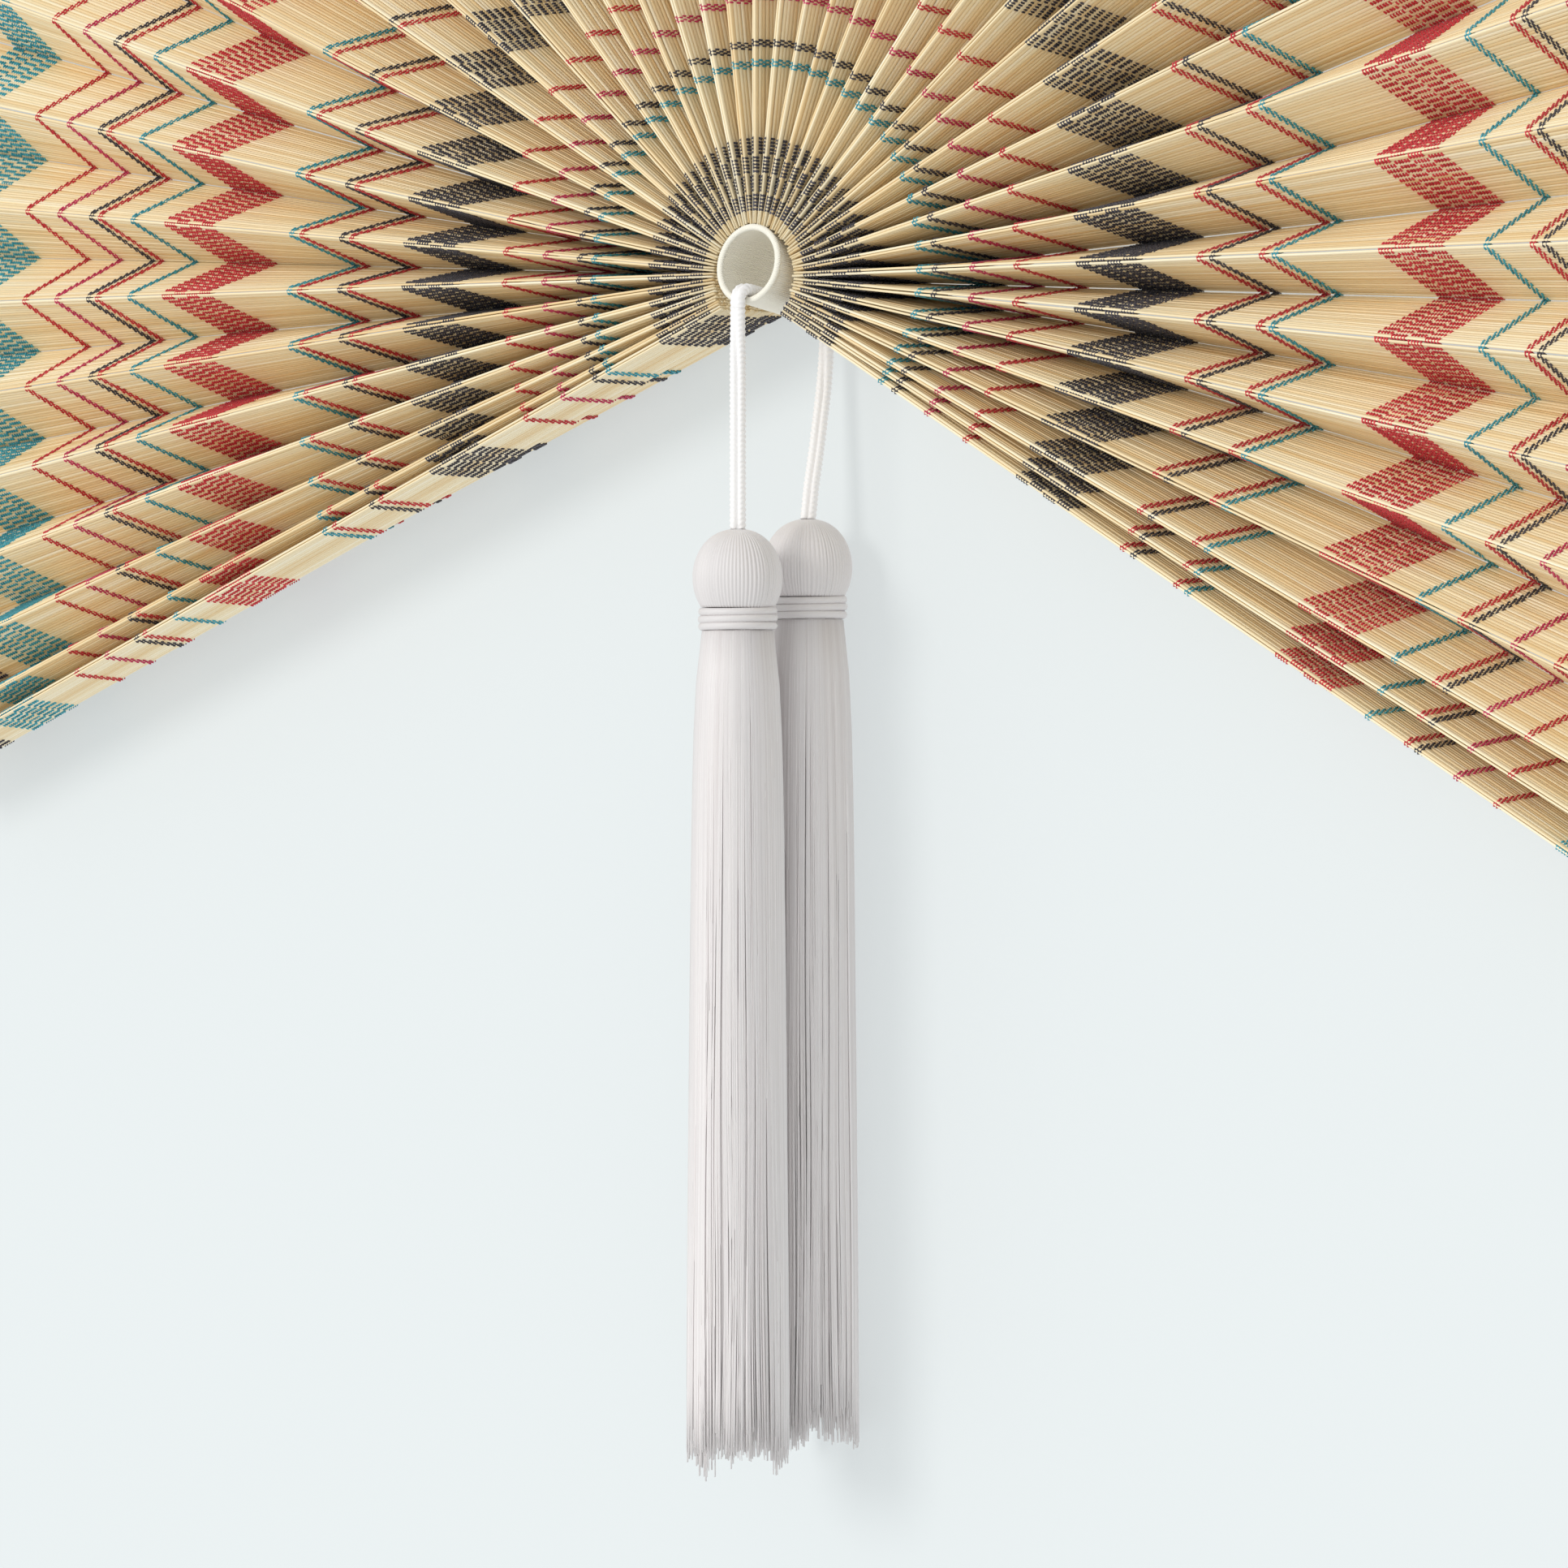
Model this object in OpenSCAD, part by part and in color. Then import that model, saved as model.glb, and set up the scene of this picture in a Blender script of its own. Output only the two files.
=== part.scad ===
// Pleated wall fan: a mat of split bamboo, folded into pleats that splay round a wrapped tube.
// A cord runs through the tube and carries a tassel at each end.
// The fan stands in the XZ plane and faces -Y. The origin is the centre of the tube's rear end.

/* [Pleats] */
// Length of one split-bamboo splint, from its inner end to the rim
splint_length = 346; // [200:1:360]
// Width of one panel, from a front ridge to a rear valley
panel_width = 29; // [20:0.5:32]
// Thickness of one panel
panel_t = 0.5; // [0.3:0.05:0.5]
// Radius of the circle that the inner ends stand on
inner_r = 13.9; // [13.6:0.1:16]
// Angle from one ridge to the next at the inner ends, in degrees
inner_pitch = 6.3; // [6:0.1:6.4]
// Half the width of a ridge's two front sticks
ridge_half = 0.6; // [0.4:0.05:0.6]
// Clearance at each valley between neighbouring pleats
valley_gap = 0.06; // [0.05:0.01:0.1]

/* [Splay] */
// Direction of the middle ridge out at the reference radius, in degrees from +X
middle_dir = 91; // [85:0.5:95]
// Even part of the splay, in degrees over half the fan
splay_even = 138; // [130:1:140]
// How much closer together the pleats lie towards both ends
splay_taper = 22; // [18:1:24]
// How far the splay leans to one side
splay_lean = 3; // [0:0.5:4]
// How much further out the last pleats at both ends lie
end_spread = 0.75; // [0:0.05:1]
// How far the outermost pleats are pressed back in, in degrees for each pleat past the nineteenth
end_press = 1.4; // [0:0.1:1.5]
// Share of a whole panel's width in the mat's last panel, at the left end
last_panel = 0.7; // [0.5:0.05:1]
// Radius where the directions above are measured
reference_r = 232; // [150:1:300]

/* [Tube] */
// Length of the tube between the centres of its end beads
tube_length = 31; // [28:0.5:34]
// Outer radius of the card core
core_r = 10.05; // [10:0.01:10.1]
// Wall of the card core
core_wall = 0.35; // [0.3:0.05:0.4]
// Thickness of the thread wound round the core, inside and outside
wrap_t = 0.35; // [0.25:0.05:0.35]
// Radius of the rounded bead that the thread makes at each end
bead_r = 0.8; // [0.7:0.05:0.8]
// Tilt of the tube, front end up, in degrees
tube_tilt = 9; // [6:0.5:9]

/* [Cord and tassels] */
// Radius of the cord
cord_r = 2.1; // [2:0.05:2.2]
// Largest radius of a tassel's head
head_r = 11.8; // [10:0.1:12]
// Height of a tassel's head
head_h = 20.4; // [18:0.1:21]
// Radius of the collar below the head
collar_r = 10.4; // [9:0.1:10.6]
// Height of the collar
collar_h = 6; // [4:0.5:6]
// Radius of the skirt at its top
skirt_top_r = 11.6; // [11:0.1:12]
// Radius of the skirt at its ends
skirt_end_r = 13.6; // [12:0.1:14]
// Length of the skirt
skirt_length = 224; // [150:1:226]

/* [Hidden] */
$fn = 48;
side_pleats = 20;
right_pleats = 21;
PLEATS = [for (i = [1 : side_pleats + 1 + right_pleats]) str("pleat_", i < 10 ? "0" : "", i)];

// centre of the fan, seen from the tube's rear end
fan_y = -panel_width / 2;
fan_z = 1.6;
// direction of the middle ridge's inner end, and how the splay wavers from pleat to pleat
inner_middle = 88.5;
sway = 1;
sway_phase = 207;
ripple = 0.75;
// rings along one pleat, and half the mean angle between ridges
stations = 9;
half_pitch = (splay_even - splay_taper) / side_pleats / 2;
// face-to-face clearance, and the looser fit of a cord over a bead or of a knot in its cavity
gap = 0.05;
fit = 0.1;

// ---- lines of the pleats: n counts ridges from the middle, to the left; halves are valleys ----
function out_dir(n) = let (u = n / side_pleats)
    middle_dir + splay_even * u - splay_lean * u * u - splay_taper * u * u * u
    + sway * cos(360 * u - sway_phase) + ripple * sin(540 * u)
    + sign(n) * (end_spread * min(max(abs(n) / 4 - 3.5, 0), 1) - end_press * max(abs(n) - 19, 0));
function foot(n) = let (a = inner_middle + inner_pitch * n) inner_r * [cos(a), sin(a)];
function heading(n) = let (a = out_dir(n), d = reference_r * [cos(a), sin(a)] - foot(n)) d / norm(d);
function along(n, s) = foot(n) + s * heading(n);
function depth(s) = let (across = (inner_r + s) * tan(half_pitch))
    sqrt(panel_width * panel_width - across * across);
function at(p, y) = [p[0], fan_y + y, fan_z + p[1]];

// eight corners of one pleat's V at distance s from the inner ends
function section(n, s) =
    let (
        r = along(n, s),
        left = along(n + 0.5, s) - r,
        right = along(n - 0.5, s) - r,
        tl = left / norm(left),
        tr = right / norm(right),
        share = n == side_pleats ? last_panel : 1,
        wl = ridge_half + (norm(left) - valley_gap - ridge_half) * share,
        wr = norm(right) - valley_gap,
        front = -depth(s) / 2,
        back = depth(s) / 2,
        left_back = front + (back - front) * share
    )
    [
        at(r + tl * wl, left_back), at(r + tl * ridge_half, front),
        at(r + tr * ridge_half, front), at(r + tr * wr, back),
        at(r + tr * (wr - panel_t), back), at(r + tr * (ridge_half - panel_t), front + panel_t),
        at(r + tl * (ridge_half - panel_t), front + panel_t), at(r + tl * (wl - panel_t), left_back)
    ];

// skin between equal rings: each side is cut along one diagonal, and turned sides along the other
function ring_sides(rings, count, turned = []) = [
    for (i = [0 : rings - 2], j = [0 : count - 1])
        let (
            near = i * count,
            far = near + count,
            k = (j + 1) % count,
            other = len(search(j, turned)) > 0
        )
        each other ? [[far + j, near + k, near + j], [far + j, far + k, near + k]]
            : [[far + k, near + k, near + j], [far + j, far + k, near + j]]
];

// ---- tube frame: y runs back along the tube's axis, z up across it ----
function tube_point(back, up) =
    [0, back * cos(tube_tilt) + up * sin(tube_tilt), -back * sin(tube_tilt) + up * cos(tube_tilt)];

module in_tube() rotate([-tube_tilt, 0, 0]) rotate([90, 0, 0]) children();

module tube(outer, inner, length, start)
    in_tube() translate([0, 0, start]) difference() {
        cylinder(r = outer, h = length);
        translate([0, 0, -1]) cylinder(r = inner, h = length + 2);
    }

// ---- cords: one tube swept along a route in the YZ plane ----
sides = 10;
function tangent(route, i) =
    let (last = len(route) - 1, d = route[min(i + 1, last)] - route[max(i - 1, 0)])
    i == 0 || i == last ? [0, 0, sign(d[2])] : d / norm(d);
function cord_ring(route, i) = let (t = tangent(route, i), across = cross(t, [1, 0, 0]))
    [for (j = [0 : sides - 1]) let (a = 360 * j / sides)
        route[i] + cord_r * (cos(a) * [1, 0, 0] + sin(a) * across)];

module cord(route) {
    n = len(route);
    points = [for (i = [0 : n - 1], p = cord_ring(route, i)) p];
    ends = [
        [for (j = [0 : sides - 1]) j],
        [for (j = [0 : sides - 1]) n * sides - 1 - j]
    ];
    color("whitesmoke") polyhedron(points, concat(ring_sides(n, sides), ends), convexity = 4);
}

// the cord lies on the bore and bends down round each bead; every cord ends level
bead_line = core_r - core_wall / 2;
bend_r = bead_r + cord_r + fit;
drop = 2;
front_bead = tube_point(-tube_length, -bead_line);
rear_bead = tube_point(0, -bead_line);
front_turn = [for (a = [80 : 20 : 180]) front_bead + bend_r * [0, cos(a), sin(a)]];
rear_turn = [for (a = [0 : 20 : 80]) rear_bead + bend_r * [0, cos(a), sin(a)]];
front_exit = front_bead + [0, -bend_r, -drop];
rear_exit = rear_bead + [0, bend_r, -drop];
hub_route = concat([rear_exit], rear_turn, front_turn, [front_exit]);

front_hang = front_exit[1];
front_top = -65;
rear_hang = -6.4;
rear_top = -62;
front_route = [for (z = [0 : 8 : 48]) [0, front_hang, front_exit[2] - z], [0, front_hang, front_top]];
rear_route = [
    rear_exit, [0, 1, -20], [0, 0, -28], [0, -1.5, -36], [0, -3, -44], [0, -5, -53], [0, rear_hang, rear_top]
];

// ---- tassel pieces, hung from the point where the cord goes in ----
knot_r = 3.4;
head_round = head_h / 2 + 0.2;
collar_turns = 3;
wrap_r = collar_h / collar_turns / 2 + fit;
collar_core = collar_r - wrap_r;
module knot(y, z) color("whitesmoke") translate([0, y, z - head_h / 2]) sphere(r = knot_r);

module head(y, z) color("gainsboro") translate([0, y, z - head_h / 2]) difference() {
    rotate_extrude() intersection() {
        scale([head_r / head_round, 1]) circle(r = head_round, $fn = 72);
        translate([0, -head_h / 2 + gap]) square([head_r, head_h - 2 * gap]);
    }
    sphere(r = knot_r + fit);
}

module collar(y, z) color("gainsboro") translate([0, y, z - head_h - collar_h])
    rotate_extrude() intersection() {
        square([collar_r, collar_h]);
        union() {
            square([collar_core, collar_h]);
            for (turn = [0 : collar_turns - 1])
                translate([collar_core, (turn + 0.5) * collar_h / collar_turns])
                    circle(r = wrap_r, $fn = 24);
        }
    }

module skirt(y, z) color("gainsboro") translate([0, y, z - head_h - collar_h - gap - skirt_length])
    rotate_extrude() polygon([
        [0, 0], [skirt_end_r - 1, 0], [skirt_end_r, 4], [skirt_end_r, skirt_length * 0.6],
        [skirt_top_r + 0.8, skirt_length - 20], [skirt_top_r, skirt_length - 6],
        [skirt_top_r - 2.5, skirt_length], [0, skirt_length]
    ]);

// ---- pieces ----
module hub_core() color("tan")
    tube(core_r, core_r - core_wall, tube_length - 2 * bead_r, bead_r);

module hub_wrap() color("white") {
    tube(core_r + wrap_t, core_r + gap, tube_length - 2 * bead_r, bead_r);
    tube(core_r - core_wall - gap, core_r - core_wall - wrap_t, tube_length - 2 * bead_r, bead_r);
}

module rim(start) color("white") in_tube() translate([0, 0, start])
    rotate_extrude() translate([bead_line, 0]) circle(r = bead_r - gap, $fn = 32);

module front_rim() rim(tube_length);
module rear_rim() rim(0);
module hub_cord() cord(hub_route);

// the thread that draws the inner ends round the tube, laid behind their rear edges
binding_r = 0.6;
binding_line = inner_r + 2.5;
binding_back = 1;
module binding_thread() color("tan") translate([0, binding_back, fan_z]) rotate([90, 0, 0])
    rotate([0, 0, inner_middle - inner_pitch * right_pleats])
        rotate_extrude(angle = inner_pitch * (side_pleats + right_pleats))
            translate([binding_line, 0]) circle(r = binding_r, $fn = 16);

// a V of two walls; both skins of a wall are cut along the same diagonals, so its thickness holds
corners = 8;
module pleat(n) {
    points = [for (i = [0 : stations - 1], p = section(n, splint_length * i / (stations - 1))) p];
    last = (stations - 1) * corners;
    strips = [[0, 1, 6, 7], [1, 2, 5, 6], [2, 3, 4, 5]];
    far = [for (q = strips) [for (i = [3 : -1 : 0]) q[i] + last]];
    skin = ring_sides(stations, corners, turned = [2, 6]);
    color("wheat") polyhedron(points, concat(skin, strips, far), convexity = 6);
}

module front_cord() cord(front_route);
module front_knot() knot(front_hang, front_top);
module front_head() head(front_hang, front_top);
module front_collar() collar(front_hang, front_top);
module front_skirt() skirt(front_hang, front_top);
module rear_cord() cord(rear_route);
module rear_knot() knot(rear_hang, rear_top);
module rear_head() head(rear_hang, rear_top);
module rear_collar() collar(rear_hang, rear_top);
module rear_skirt() skirt(rear_hang, rear_top);

hub_core();
hub_wrap();
front_rim();
rear_rim();
hub_cord();
binding_thread();
for (i = [0 : side_pleats + right_pleats])
    pleat(side_pleats - i);
front_cord();
front_knot();
front_head();
front_collar();
front_skirt();
rear_cord();
rear_knot();
rear_head();
rear_collar();
rear_skirt();
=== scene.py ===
import math

import bpy
import numpy as np
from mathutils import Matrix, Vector


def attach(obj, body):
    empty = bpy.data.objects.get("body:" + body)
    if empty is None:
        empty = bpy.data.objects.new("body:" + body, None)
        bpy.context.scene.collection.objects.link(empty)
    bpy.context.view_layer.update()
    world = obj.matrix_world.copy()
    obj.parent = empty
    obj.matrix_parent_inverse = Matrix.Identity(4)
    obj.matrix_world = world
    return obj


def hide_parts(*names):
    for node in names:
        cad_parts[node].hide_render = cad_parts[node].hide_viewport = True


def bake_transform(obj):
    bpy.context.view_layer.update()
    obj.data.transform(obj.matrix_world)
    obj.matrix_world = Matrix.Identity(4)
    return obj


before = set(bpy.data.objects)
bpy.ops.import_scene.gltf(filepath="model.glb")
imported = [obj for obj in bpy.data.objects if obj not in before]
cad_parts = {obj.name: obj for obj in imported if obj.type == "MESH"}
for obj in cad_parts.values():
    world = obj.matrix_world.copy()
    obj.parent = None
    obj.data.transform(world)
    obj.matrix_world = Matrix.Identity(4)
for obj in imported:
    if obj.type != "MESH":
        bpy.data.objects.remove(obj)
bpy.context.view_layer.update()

# ---------------------------------------------------------------- sizes, in mm
MM = 0.001
SIDE = 20  # pleats over which half the splay is stated
LEFT, RIGHT = 20, 21  # pleats on each side of the middle one
INNER = 13.9  # radius of the pleats' inner ends
FOOT_START, FOOT_STEP = 88.5, 6.3  # degrees: the middle pleat's inner end, and the step to the next one
END_SPREAD, END_PRESS = 0.75, 1.4  # degrees: extra splay near the ends, and how far the last pleats press in
RIM = 232.0  # radius at which the splay is stated
DEPTH = 29.0  # width of a panel, from ridge to valley
HALF_PITCH = 2.9  # degrees between a ridge and the next valley
FAN_Y, FAN_Z = -14.5, 1.6
LENGTH = 346.0  # of a splint
SPLINTS = 22  # in a panel
LAST_SPLINTS = 15  # in the mat's last panel, at the left end
HALF_FOLD = 0.36  # from a fold's middle to the splints' middle
TUBE, TILT = 31.0, 9.0
BEAD_LINE = 9.875
CORD_R = 2.1
BEND_R = 3.0
FRONT_DROP, REAR_DROP = -65.0, -62.0
FRONT_Y, REAR_Y = -35.163, -6.4

PI = math.pi
rng = np.random.default_rng(7)
X, Y = np.eye(3)[:2]


def body(n):
    """The body of pleat n, counted from the middle one, with positive numbers to the left."""
    return "hub" if n == 0 else f"pleat_{21 - n:02d}"


def node(n):
    return f"pleat_{21 - n:02d}"


def unit(v):
    return v / np.linalg.norm(v, axis=-1, keepdims=True)


# ---------------------------------------------------------------- the folded mat's own lines
def out_dir(n):
    u = n / SIDE
    wave = math.cos(math.radians(360 * u - 207)) + 0.75 * math.sin(math.radians(540 * u))
    ends = END_SPREAD * min(max(abs(n) / 4 - 3.5, 0), 1) - END_PRESS * max(abs(n) - 19, 0)
    return math.radians(91 + 138 * u - 3 * u**2 - 22 * u**3 + wave + np.sign(n) * ends)


def foot(n):
    a = math.radians(FOOT_START + FOOT_STEP * n)
    return INNER * np.array([math.cos(a), 0, math.sin(a)])


def heading(n):
    a = out_dir(n)
    return unit(RIM * np.array([math.cos(a), 0, math.sin(a)]) - foot(n))


def along(n, s):
    return foot(n) + np.asarray(s)[..., None] * heading(n) + np.array([0, FAN_Y, FAN_Z])


def half_depth(s):
    spread = (INNER + np.asarray(s)) * math.tan(math.radians(HALF_PITCH))
    return np.sqrt(DEPTH**2 - spread**2) / 2


def panel(n, side, s):
    """Front edge, back edge, outward direction and width, at each s along the panel on that side of ridge n."""
    ridge, valley = along(n, s), along(n + side / 2, s)
    across = unit(valley - ridge)
    width = np.linalg.norm(valley - ridge, axis=-1)
    deep = half_depth(s)[..., None] * Y
    front = ridge + across * HALF_FOLD - deep
    back = valley - across * HALF_FOLD + deep
    c = unit(back - front)
    out = unit(across * (c @ Y)[..., None] - Y * np.sum(c * across, -1, keepdims=True))
    return front, back, out, width


# ---------------------------------------------------------------- meshes
def skin(rings, closed=False):
    """Points and faces of tubes, from rings of shape (tubes, rings, sides, 3)."""
    tubes, count, sides = rings.shape[:3]
    index = np.arange(tubes * count * sides).reshape(tubes, count, sides)
    first = index if closed else index[:, :-1]
    after = np.roll(index, -1, axis=1) if closed else index[:, 1:]
    turn = lambda a: np.roll(a, -1, axis=2)
    quads = np.stack([first, turn(first), turn(after), after], -1).reshape(-1, 4)
    faces = [quads]
    if not closed:
        faces += [index[:, 0, ::-1], index[:, -1]]
    return rings.reshape(-1, 3), faces


def make(name, points, faces, materials, tints=None, **attributes):
    """A smooth mesh from points in mm and a list of arrays of faces."""
    mesh = bpy.data.meshes.new(name)
    mesh.vertices.add(len(points))
    mesh.vertices.foreach_set("co", (points * MM).astype(np.float32).ravel())
    corners = np.concatenate([f.ravel() for f in faces])
    sizes = np.concatenate([np.full(len(f), f.shape[1]) for f in faces])
    starts = np.concatenate([[0], np.cumsum(sizes)[:-1]])
    mesh.loops.add(len(corners))
    mesh.loops.foreach_set("vertex_index", corners.astype(np.int32))
    mesh.polygons.add(len(sizes))
    mesh.polygons.foreach_set("loop_start", starts.astype(np.int32))
    for m in materials:
        mesh.materials.append(m)
    if tints is not None:
        mesh.polygons.foreach_set("material_index", tints.astype(np.int32))
    mesh.update(calc_edges=True)
    mesh.shade_smooth()
    for key, values in attributes.items():
        kind = "FLOAT_VECTOR" if values.ndim == 2 else "FLOAT"
        layer = mesh.attributes.new(key, kind, "POINT")
        layer.data.foreach_set("vector" if values.ndim == 2 else "value", values.astype(np.float32).ravel())
    ob = bpy.data.objects.new(name, mesh)
    bpy.context.scene.collection.objects.link(ob)
    return ob


def tints_of(rings, shades):
    """A material number for each face of skin(rings), one per tube."""
    tubes, count, sides = rings.shape[:3]
    pick = rng.integers(0, shades, tubes)
    return np.concatenate([np.repeat(pick, (count - 1) * sides), pick, pick])


# ---------------------------------------------------------------- materials
def srgb(code):
    c = np.array([int(code[i : i + 2], 16) / 255 for i in (1, 3, 5)])
    c = np.where(c <= 0.04045, c / 12.92, ((c + 0.055) / 1.055) ** 2.4)
    return (*c, 1.0)


def surface(name, colour, rough, sheen=0.0, bump=0.0, scale=900.0):
    """A plain dyed surface with fine fibres in its relief."""
    m = bpy.data.materials.new(name)
    m.use_nodes = True
    nodes, links = m.node_tree.nodes, m.node_tree.links
    p = nodes["Principled BSDF"]
    p.inputs["Base Color"].default_value = srgb(colour)
    p.inputs["Roughness"].default_value = rough
    p.inputs["Sheen Weight"].default_value = sheen
    if bump:
        where = nodes.new("ShaderNodeTexCoord")
        noise = nodes.new("ShaderNodeTexNoise")
        noise.inputs["Scale"].default_value = scale
        noise.inputs["Detail"].default_value = 2
        relief = nodes.new("ShaderNodeBump")
        relief.inputs["Strength"].default_value = bump
        relief.inputs["Distance"].default_value = 0.0002
        links.new(where.outputs["Object"], noise.inputs["Vector"])
        links.new(noise.outputs["Fac"], relief.inputs["Height"])
        links.new(relief.outputs["Normal"], p.inputs["Normal"])
    return m


def bamboo():
    """Split bamboo: each splint has its own tone, with fibres running along it."""
    m = bpy.data.materials.new("bamboo")
    m.use_nodes = True
    nodes, links = m.node_tree.nodes, m.node_tree.links
    p = nodes["Principled BSDF"]
    grain = nodes.new("ShaderNodeAttribute")
    grain.attribute_name = "grain"
    tone = nodes.new("ShaderNodeAttribute")
    tone.attribute_name = "tone"

    def streaks(stretch, detail):
        scale = nodes.new("ShaderNodeVectorMath")
        scale.operation = "MULTIPLY"
        scale.inputs[1].default_value = stretch
        noise = nodes.new("ShaderNodeTexNoise")
        noise.inputs["Scale"].default_value = 1.0
        noise.inputs["Detail"].default_value = detail
        links.new(grain.outputs["Vector"], scale.inputs[0])
        links.new(scale.outputs["Vector"], noise.inputs["Vector"])
        return noise.outputs["Fac"]

    fine = streaks((0.05, 5.0, 9.0), 3)
    broad = streaks((0.012, 0.6, 9.0), 1)
    add = nodes.new("ShaderNodeMath")
    add.operation = "MULTIPLY_ADD"
    add.inputs[1].default_value = 0.55
    links.new(fine, add.inputs[0])
    links.new(tone.outputs["Fac"], add.inputs[2])
    more = nodes.new("ShaderNodeMath")
    more.operation = "MULTIPLY_ADD"
    more.inputs[1].default_value = 0.5
    links.new(broad, more.inputs[0])
    links.new(add.outputs[0], more.inputs[2])
    ramp = nodes.new("ShaderNodeValToRGB")
    ramp.color_ramp.elements[0].position = 0.40
    ramp.color_ramp.elements[0].color = srgb("#FCF1D8")
    ramp.color_ramp.elements[1].position = 1.0
    ramp.color_ramp.elements[1].color = srgb("#E9C994")
    middle = ramp.color_ramp.elements.new(0.68)
    middle.color = srgb("#F5E2BB")
    links.new(more.outputs[0], ramp.inputs["Fac"])
    links.new(ramp.outputs["Color"], p.inputs["Base Color"])
    p.inputs["Roughness"].default_value = 0.5
    relief = nodes.new("ShaderNodeBump")
    relief.inputs["Strength"].default_value = 0.35
    relief.inputs["Distance"].default_value = 0.0001
    links.new(fine, relief.inputs["Height"])
    links.new(relief.outputs["Normal"], p.inputs["Normal"])
    return m


BAMBOO = bamboo()
DYED = {
    "black": ["#3C3842", "#48444F", "#332F39"],
    "red": ["#CF2A35", "#D83C44", "#C42530"],
    "magenta": ["#CA2A5C", "#D43E6B", "#BE2452"],
    "teal": ["#339CAF", "#44A9BB", "#2A8FA1"],
}
YARN = {
    dye: [surface(f"{dye}_{i}", c, 0.75, 0.15, 0.2, 1400.0) for i, c in enumerate(shades)]
    for dye, shades in DYED.items()
}
COTTON = surface("white_thread", "#F6F0E2", 0.7, 0.2, 0.3, 1500.0)
CARD = surface("card", "#B79A6E", 0.9, 0.0, 0.3, 400.0)
TWINE = surface("twine", "#CDB07C", 0.8, 0.1, 0.4, 1200.0)
BRAID = surface("braid", "#F6F2F1", 0.6, 0.3, 0.3, 1600.0)
SILK = surface("silk", "#DDD7D6", 0.5, 0.3, 0.2, 1200.0)
FLOSS = [surface(f"floss_{i}", c, 0.5, 0.3) for i, c in enumerate(["#F0EAE9", "#F3EDEC", "#ECE5E4"])]

# ---------------------------------------------------------------- the camera
camera = bpy.data.cameras.new("camera")
camera.lens, camera.sensor_width = 168.45, 36
camera.clip_start, camera.clip_end = 0.05, 20
eye = bpy.data.objects.new("camera", camera)
bpy.context.scene.collection.objects.link(eye)
azimuth, elevation = math.radians(40.06), math.radians(1.09)
back = Vector(
    (
        math.sin(azimuth) * math.cos(elevation),
        -math.cos(azimuth) * math.cos(elevation),
        math.sin(elevation),
    )
)
eye.location = Vector((0.00075, -0.0172, -0.1321)) + back * 1.9412
eye.rotation_mode = "QUATERNION"
eye.rotation_quaternion = (-back).to_track_quat("-Z", "Y")
bpy.context.scene.camera = eye

# ---------------------------------------------------------------- the two cords and the stretch in the tube
tilt = math.radians(TILT)


def tube_point(b, up):
    return np.array([0, b * math.cos(tilt) + up * math.sin(tilt), -b * math.sin(tilt) + up * math.cos(tilt)])


def arc(centre, low, high):
    return [
        centre + BEND_R * np.array([0, math.cos(math.radians(a)), math.sin(math.radians(a))])
        for a in range(low, high + 1, 10)
    ]


front_bead, rear_bead = tube_point(-TUBE, -BEAD_LINE), tube_point(0, -BEAD_LINE)
front_exit = front_bead + np.array([0, -BEND_R, -2])
rear_exit = rear_bead + np.array([0, BEND_R, -2])
hub_route = [rear_exit, *arc(rear_bead, 0, 80), *arc(front_bead, 80, 180), front_exit]
front_route = [front_exit - np.array([0, 0, d]) for d in np.linspace(0, front_exit[2] - FRONT_DROP, 12)]
rear_stops = [(1, -20), (0, -28), (-1.5, -36), (-3, -44), (-5, -53), (REAR_Y, REAR_DROP)]
rear_route = [rear_exit, *(np.array([0, y, z]) for y, z in rear_stops)]


def resample(route, step):
    route = np.array(route)
    run = np.concatenate([[0], np.cumsum(np.linalg.norm(np.diff(route, axis=0), axis=1))])
    t = np.linspace(0, run[-1], max(2, int(round(run[-1] / step)) + 1))
    return np.stack([np.interp(t, run, route[:, i]) for i in range(3)], 1), t


def two_ply(name, route, start, twist):
    """Two soft plies side by side, with the slant of a fine braid on each. They turn by twist in the first 18 mm."""
    line, run = resample(route, 0.35)
    tangent = unit(np.gradient(line, axis=0))
    depth = unit(np.cross(tangent, X))
    angle = np.linspace(0, 2 * PI, 28, endpoint=False)
    a, r = angle[None, :], (run + start)[:, None]
    groove = 1 - 0.42 * np.exp(-((np.cos(a) / 0.26) ** 2))
    slant = 0.07 * np.sin(4.6 * r + 6 * np.abs(np.cos(a)) * np.sign(np.sin(a)))
    reach = CORD_R * groove * (1 + slant) * 0.985
    share = np.clip(run / 18, 0, 1)
    turned = (math.radians(twist) * share * share * (3 - 2 * share))[:, None]
    wide = np.cos(turned) * X - np.sin(turned) * depth
    deep = np.cos(turned) * depth + np.sin(turned) * X
    across, high = reach * np.cos(a), reach * 0.84 * np.sin(a)
    rings = line[:, None] + across[..., None] * wide[:, None] + high[..., None] * deep[:, None]
    points, faces = skin(rings[None])
    return make(name, points, faces, [BRAID]), run[-1]


hub_run, hub_length = two_ply("cord_in_tube", hub_route, 0, 0)
front_run, front_length = two_ply("cord_front", front_route, hub_length, 34)
rear_run, rear_length = two_ply("cord_rear", rear_route, 0, 34)
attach(hub_run, "hub")
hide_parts("hub_cord")
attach(front_run, "front_cord")
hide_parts("front_cord")
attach(rear_run, "rear_cord")
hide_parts("rear_cord")


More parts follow.
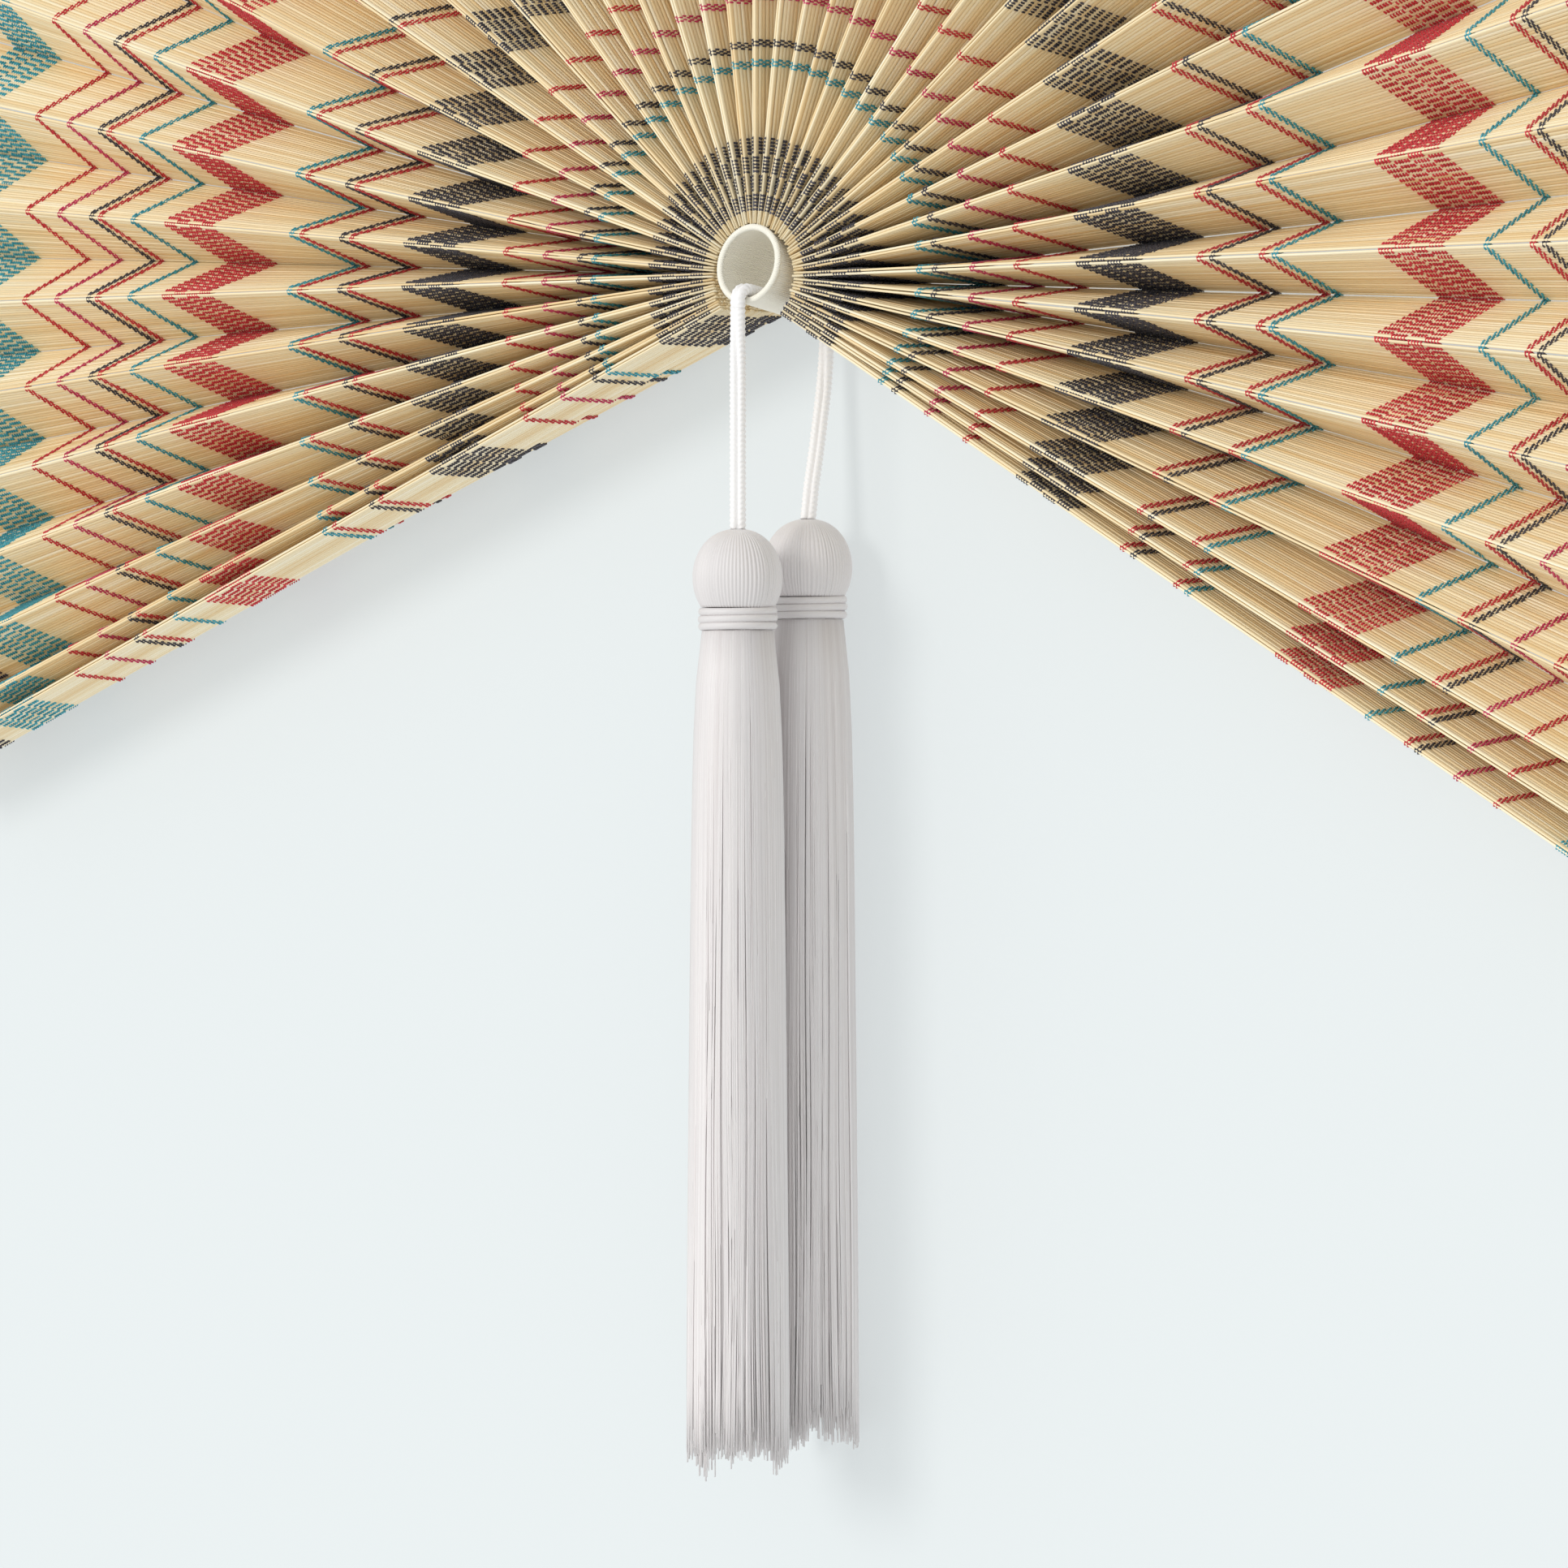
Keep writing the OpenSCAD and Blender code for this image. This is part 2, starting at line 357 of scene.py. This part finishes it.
# ---------------------------------------------------------------- tassels
def tassel(side, top_y, top_z):
    """A round head with the floss laid over it, a wound collar, and a long skirt of strands."""
    top = np.array([0, top_y, top_z])
    turn = np.linspace(0, 2 * PI, 288, endpoint=False)
    lay = rng.normal(0, 1, 8)
    wander = sum(lay[k] * np.sin((k + 2) * turn + k) for k in range(8)) * 0.06
    ridge = np.abs(np.sin(36 * (turn + wander * 0.15)))
    fall = np.linspace(0, 1, 40)
    polar = np.radians(9 + (127 - 9) * fall)
    radius = 11.55 * np.sin(polar) ** 0.92 + 0.15
    level = -20.4 * (math.cos(polar[0]) - np.cos(polar)) / (math.cos(polar[0]) - math.cos(polar[-1]))
    relief = 0.42 * np.sqrt(np.sin(np.clip(polar, 0.1, PI)))[:, None] * (ridge[None, :] - 0.6)
    reach = radius[:, None] + relief + 0.10 * np.sin(5 * turn + 3 * fall[:, None] + lay[0])
    ring = lambda r, z: np.stack([r * np.cos(turn), r * np.sin(turn), z + 0 * turn], -1)
    shell = [ring(reach[i], level[i]) for i in range(40)]
    funnel = [ring(np.full_like(turn, 2.15), -7.0), ring(np.full_like(turn, 2.15), -0.4)]
    base = [ring(reach[-1] * 0.55, -20.4)]
    points, faces = skin(np.array([funnel + shell + base]))
    head = make(f"{side}_tassel_head", points + top, faces, [SILK])

    wound = []
    for k in range(3):
        lift = -21.4 - 2.0 * k
        a = np.linspace(0, 2 * PI, 160, endpoint=False)
        b = np.linspace(0, 2 * PI, 10, endpoint=False)
        big = 9.35 + (0.12 if k == 1 else 0)
        twist = 0.10 * np.sin(70 * a[:, None] + 2 * b[None, :] + k)
        r = big + (1.02 + twist) * np.cos(b)
        z = lift + 0.25 * np.sin(a + k)[:, None] + (1.04 + twist) * np.sin(b)
        wound.append(np.stack([r * np.cos(a)[:, None], r * np.sin(a)[:, None], z], -1))
    points, faces = skin(np.array(wound), closed=True)
    collar = make(f"{side}_tassel_collar", points + top, faces, [SILK])

    count = 760
    layer = rng.choice([1.0, 0.94, 0.86, 0.74], count, p=[0.46, 0.26, 0.16, 0.12])
    around = rng.uniform(0, 2 * PI, count)
    around[: int(count * 0.46)] = np.linspace(0, 2 * PI, int(count * 0.46), endpoint=False)
    layer[: int(count * 0.46)] = 1.0
    start, end = -26.6, -250.4
    clump = sum(np.sin(k * around + lay[k % 8] * 3) for k in (3, 7, 11, 19)) / 4
    length = (end - start) * (1 - 0.05 * (0.5 + 0.5 * clump) - rng.beta(1.3, 6, count) * 0.12)
    rings = 16
    t = np.linspace(0, 1, rings)[None, :]
    swell = 9.4 + 2.1 * (1 - np.exp(-t * 14)) + 2.0 * t**0.8
    drift = rng.normal(0, 0.05, (count, 1)) * t + 0.03 * t * np.sin(9 * t + around[:, None] * 5)
    loose = rng.random(count) < 0.06
    stray = np.where(loose, rng.uniform(-1.4, 1.4, count), 0)[:, None] * np.maximum(t - 0.35, 0) ** 1.3 * 0.35
    r = layer[:, None] * swell - 0.35 + rng.normal(0, 0.18, (count, 1)) * t
    a = around[:, None] + drift + stray
    z = start + length[:, None] * t
    line = np.stack([r * np.cos(a), r * np.sin(a), np.broadcast_to(z, r.shape)], -1)
    thick = np.where(loose, 0.16, rng.uniform(0.26, 0.40, count))[:, None] * (1 - 0.35 * t**6)
    outward = np.stack([np.cos(a), np.sin(a), 0 * a], -1)
    aside = np.stack([-np.sin(a), np.cos(a), 0 * a], -1)
    strands = np.stack(
        [line + (thick * math.cos(b))[..., None] * outward + (thick * math.sin(b))[..., None] * aside
         for b in (0, 2 * PI / 3, 4 * PI / 3)], 2)
    points, faces = skin(strands)
    skirt = make(f"{side}_tassel_skirt", points + top, faces, FLOSS, tints_of(strands, 3))

    flute = np.linspace(0, 2 * PI, 240, endpoint=False)
    levels = np.linspace(0, 1, 24)
    shape = 0.955 + 0.025 * np.abs(np.sin(40 * flute)) + 0.01 * np.sin(7 * flute)
    core = []
    for u in levels:
        reach = shape * (9.4 + 2.1 * (1 - math.exp(-u * 14)) + 1.7 * u**0.8) * (1 if u < 0.999 else 0.96) - 0.3
        depth = start + 1.2 + (end - start + 26) * u
        core.append(np.stack([reach * np.cos(flute), reach * np.sin(flute), depth + 0 * flute], -1))
    points, faces = skin(np.array([core]))
    inner = make(f"{side}_tassel_core", points + top, faces, [FLOSS[2]])
    for ob in (head, collar, skirt, inner):
        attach(ob, f"{side}_tassel")
    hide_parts(f"{side}_head")
    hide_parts(f"{side}_collar")
    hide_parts(f"{side}_skirt")
    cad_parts[f"{side}_knot"].data.materials.clear()
    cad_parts[f"{side}_knot"].data.materials.append(BRAID)
    return [head, collar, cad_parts[f"{side}_knot"]]


front_pieces = tassel("front", FRONT_Y, FRONT_DROP)
rear_pieces = tassel("rear", REAR_Y, REAR_DROP)

# ---------------------------------------------------------------- the tube's thread wrapping
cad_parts["hub_core"].data.materials.clear()
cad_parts["hub_core"].data.materials.append(CARD)
THREADS = 118


def wrapping():
    """Threads wound lengthwise: along the outside, over each bead and back through the bore."""
    profile = [(b, 10.36) for b in np.linspace(-1.2, -TUBE + 1.2, 16)]
    front_bend, rear_bend = np.linspace(0.3 * PI, 1.7 * PI, 17), np.linspace(-0.7 * PI, 0.7 * PI, 17)
    profile += [(-TUBE + 0.8 * math.cos(a), BEAD_LINE + 0.85 * math.sin(a)) for a in front_bend]
    profile += [(b, 9.42) for b in np.linspace(-TUBE + 1.4, -1.4, 16)]
    profile += [(0.8 * math.cos(a), BEAD_LINE + 0.85 * math.sin(a)) for a in rear_bend]
    profile = np.array(profile)
    middle = np.array([-TUBE / 2, BEAD_LINE])
    nearest = np.stack([np.clip(profile[:, 0], -TUBE, 0), np.full(len(profile), BEAD_LINE)], 1)
    outward = unit(profile - nearest)
    run = np.concatenate([[0], np.cumsum(np.linalg.norm(np.diff(profile, axis=0), axis=1))])
    turn = np.linspace(0, 2 * PI, THREADS * 5, endpoint=False)
    near_end = np.exp(-((np.abs(profile[:, 0] - middle[0]) - TUBE / 2) / 1.6) ** 2)
    slant = np.cumsum(near_end) * 0.012
    fuzz = 0.15 * np.sin(turn * 9 + 2) + 0.1 * np.sin(turn * 23)
    bump = 0.24 * (np.abs(np.sin((turn[None, :] + slant[:, None]) * THREADS / 2 + fuzz)) - 0.7)
    b = profile[:, :1] + bump * outward[:, :1]
    up = profile[:, 1:] + bump * outward[:, 1:]
    x, y0, z0 = up * np.cos(turn), b, up * np.sin(turn)
    rings = np.stack([x, y0 * math.cos(tilt) + z0 * math.sin(tilt), -y0 * math.sin(tilt) + z0 * math.cos(tilt)], -1)
    points, faces = skin(rings[None], closed=True)
    return make("tube_wrapping", points, faces, [COTTON])


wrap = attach(wrapping(), "hub")
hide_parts("hub_wrap", "front_rim", "rear_rim")


# ---------------------------------------------------------------- the binding thread
BINDING_R = 16.4


def binding(n):
    """Two plies twisted together, from ridge n to the next one on its left, behind the pleats' inner ends."""
    ends = [math.radians(FOOT_START + FOOT_STEP * (n + e)) for e in (0, 1)]
    a = np.linspace(*ends, 13)
    line = np.stack([BINDING_R * np.cos(a), 1 + 0 * a, FAN_Z + BINDING_R * np.sin(a)], -1)
    radial = np.stack([np.cos(a), 0 * a, np.sin(a)], -1)
    plies = []
    for k in (0, PI):
        phase = a * BINDING_R / 1.9 * PI + k
        middle = line + 0.26 * (np.cos(phase)[:, None] * radial + np.sin(phase)[:, None] * Y)
        ring = [middle + 0.33 * (math.cos(b) * radial + math.sin(b) * Y) for b in np.linspace(0, 2 * PI, 7)[:-1]]
        plies.append(np.stack(ring, 1))
    points, faces = skin(np.array(plies))
    ob = make(f"binding_{n + RIGHT + 1:02d}", points, faces, [TWINE])
    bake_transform(ob)
    return ob


bound = [binding(n) for n in range(-RIGHT, LEFT)]
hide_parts("binding_thread")

# ---------------------------------------------------------------- the woven mat
LINE, BAND = "line", "band"
WEAVE = [
    ("black", BAND, 3.3),
    ("teal", LINE, 42.3),
    ("black", LINE, 47.5),
    ("magenta", LINE, 59.9),
    ("red", LINE, 74.4),
    ("black", BAND, 93.2),
    ("red", LINE, 132.4),
    ("black", LINE, 136.2),
    ("red", LINE, 151.6),
    ("teal", LINE, 155.6),
    ("red", BAND, 186.5),
    ("teal", LINE, 218.7),
    ("red", LINE, 232.1),
    ("black", LINE, 235.7),
    ("magenta", LINE, 248.8),
    ("red", LINE, 262.1),
    ("teal", BAND, 281.6),
    ("black", BAND, 310.0),
]


def thread_list():
    """(dye, place along the splint, half width, which splints it covers) for every woven thread."""
    found = []
    for dye, kind, place in WEAVE:
        if kind == BAND:
            for g in range(4):
                found += [(dye, place + 0.46 + 5.0 * g + 0.92 * j, 0.37, g % 2) for j in range(5)]
        else:
            found += [(dye, place + 0.50 * (j - 1.5), 0.29, j % 2) for j in range(4)]
    return found


WOVEN = thread_list()
OVER, UNDER = 0.43, -0.61  # of a thread's middle, from the splints' middle
FOLD_EXTRA = 0.11  # what a splint beside a fold has extra, so the fold shows no gap
LINE_SHIFT = 3.8


def splint_count(n, side):
    return LAST_SPLINTS if n == LEFT and side > 0 else SPLINTS


def splints(n, side):
    count = splint_count(n, side)
    stations = np.linspace(0, 1, 13)
    first = rng.uniform(-0.6, 0.4, count)
    last = LENGTH + rng.uniform(-1.5, 0.5, count)
    s = first[:, None] + (last - first)[:, None] * stations
    front, back_edge, out, _ = panel(n, side, s)
    c = unit(back_edge - front)
    t = (np.arange(count) + 0.5) / SPLINTS
    wave = rng.normal(0, 0.035, s.shape)
    sway = (rng.normal(0, 0.05, (count, 1)) + wave)[..., None]
    rise = (rng.normal(0, 0.05, (count, 1)) + rng.normal(0, 0.03, s.shape))[..., None]
    middle = front + (back_edge - front) * t[:, None, None] + c * sway + out * rise
    wide = (DEPTH / SPLINTS * rng.uniform(0.455, 0.487, (count, 1)) + rng.normal(0, 0.012, s.shape))[..., None]
    order = np.arange(count)
    at_fold = np.where(order == 0, -FOLD_EXTRA, np.where(order == SPLINTS - 1, FOLD_EXTRA, 0))[:, None, None]
    middle, wide = middle + c * at_fold, wide + np.abs(at_fold)
    thick = (rng.uniform(0.27, 0.315, (count, 1)) + 0 * s)[..., None]
    shape = [(-1, 0.45), (-0.72, 1), (0.72, 1), (1, 0.45), (1, -0.45), (0.72, -1), (-0.72, -1), (-1, -0.45)]
    rings = np.stack([middle + c * wide * w + out * thick * h for w, h in shape], 2)
    points, faces = skin(rings)
    tone = np.broadcast_to(rng.beta(2, 3.2, (count, 1, 1)) * 0.55, rings.shape[:3])
    across = np.array([w * 0.6 + 0.35 * h for w, h in shape])
    number = np.broadcast_to(rng.uniform(0, 50, (count, 1, 1)), rings.shape[:3])
    grain = np.stack([np.broadcast_to(s[..., None], rings.shape[:3]), across + 0 * number, number], -1)
    return make(f"splints_{node(n)[-2:]}_{'l' if side > 0 else 'r'}", points, faces, [BAMBOO],
                tone=tone.reshape(-1), grain=grain.reshape(-1, 3))


def slip(n):
    """How far the woven lines lie nearer the hub on the last pleats on the right. The splints don't move."""
    u = min(max((-n - 15) / 4, 0), 1)
    return LINE_SHIFT * u * u * (3 - 2 * u)


def threads(n, side, dye):
    """Every thread of one dye across one panel, as a tube that goes over and under the splints."""
    mine = [w for w in WOVEN if w[0] == dye]
    place = np.array([w[1] for w in mine]) + rng.normal(0, 0.04, len(mine)) - slip(n)
    half = np.array([w[2] for w in mine]) * rng.uniform(0.94, 1.04, len(mine))
    covers = np.array([w[3] for w in mine])
    front, back_edge, out, width = panel(n, side, place)
    order = np.arange(splint_count(n, side))
    over = (order[None, :] + covers[:, None] + (side > 0)) % 2 == 0
    t = (order[:, None] + 0.5 + np.array([-0.35, 0.35])).ravel() / SPLINTS
    lift = np.where(np.repeat(over, 2, axis=1), OVER, UNDER)
    start, stop = over[:, 0], over[:, -1]
    edge = len(order) / SPLINTS
    t_all = np.concatenate(
        [
            np.where(start, -0.012, 0.006)[:, None],
            np.broadcast_to(t, lift.shape),
            np.where(stop, edge - 0.006, edge + 0.012)[:, None],
        ],
        1,
    )
    lift = np.concatenate([np.full((len(mine), 1), -0.32), lift, np.full((len(mine), 1), 0.32)], 1)
    inside = HALF_FOLD + np.clip(t_all, 0, 1) * width[:, None]
    outside = HALF_FOLD + (1 - np.clip(t_all, 0, 1)) * width[:, None]
    lift = np.clip(lift, -inside, outside)
    lift = lift + rng.normal(0, 0.015, lift.shape)
    middle = front[:, None] + (back_edge - front)[:, None] * t_all[..., None] + out[:, None] * lift[..., None]
    lengthwise = heading(n)
    w = half[:, None, None] * lengthwise
    high = 0.32 * out[:, None]
    rings = np.stack([middle + w - 0.4 * high, middle + high, middle - w - 0.4 * high], 2)
    points, faces = skin(rings)
    ob = make(f"{dye}_{node(n)[-2:]}_{'l' if side > 0 else 'r'}", points, faces, YARN[dye], tints_of(rings, 3))
    return ob


def hang(ob, n, side):
    """A panel at either end, with no pleat beyond it, rides on its own pleat; every other panel stays fixed where it
    is built and doesn't turn with the pleats."""
    if not -RIGHT <= n + side <= LEFT:
        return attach(ob, body(n))
    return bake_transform(ob)


for n in range(-RIGHT, LEFT + 1):
    for side in (1, -1):
        mat = splints(n, side)
        if side == 1:
            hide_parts(node(n))
        hang(mat, n, side)
        for dye in DYED:
            hang(threads(n, side, dye), n, side)


# ---------------------------------------------------------------- wall and light
def wall():
    """The pale wall behind the fan, which lets a view from behind through."""
    m = bpy.data.materials.new("wall")
    m.use_nodes = True
    nodes, links = m.node_tree.nodes, m.node_tree.links
    p = nodes["Principled BSDF"]
    p.inputs["Base Color"].default_value = (0.328, 0.344, 0.347, 1)
    p.inputs["Emission Color"].default_value = (0.453, 0.475, 0.479, 1)
    p.inputs["Emission Strength"].default_value = 1.0
    p.inputs["Roughness"].default_value = 1.0
    p.inputs["Specular IOR Level"].default_value = 0.0
    clear = nodes.new("ShaderNodeBsdfTransparent")
    side_of = nodes.new("ShaderNodeNewGeometry")
    mix = nodes.new("ShaderNodeMixShader")
    links.new(side_of.outputs["Backfacing"], mix.inputs[0])
    links.new(p.outputs[0], mix.inputs[1])
    links.new(clear.outputs[0], mix.inputs[2])
    links.new(mix.outputs[0], nodes["Material Output"].inputs["Surface"])
    big, back_y = 3000.0, 9.0
    points = np.array([[-big, back_y, -big], [big, back_y, -big], [big, back_y, big], [-big, back_y, big]])
    ob = make("wall", points, [np.array([[0, 1, 2, 3]])], [m])
    ob.visible_diffuse = ob.visible_glossy = ob.visible_transmission = False
    ob.visible_shadow = ob.visible_volume_scatter = False


wall()
world = bpy.data.worlds.new("world")
bpy.context.scene.world = world
world.use_nodes = True
world.node_tree.nodes["Background"].inputs["Color"].default_value = srgb("#EEF3F4")
world.node_tree.nodes["Background"].inputs["Strength"].default_value = 0.98
sun = bpy.data.lights.new("key", "SUN")
sun.energy, sun.angle, sun.color = 1.15, math.radians(21), (1.0, 0.985, 0.96)
key = bpy.data.objects.new("key", sun)
bpy.context.scene.collection.objects.link(key)
key.rotation_mode = "QUATERNION"
key.rotation_quaternion = Vector((0.22, 0.93, -0.32)).to_track_quat("-Z", "Y")
bpy.context.scene.view_settings.view_transform = "Standard"
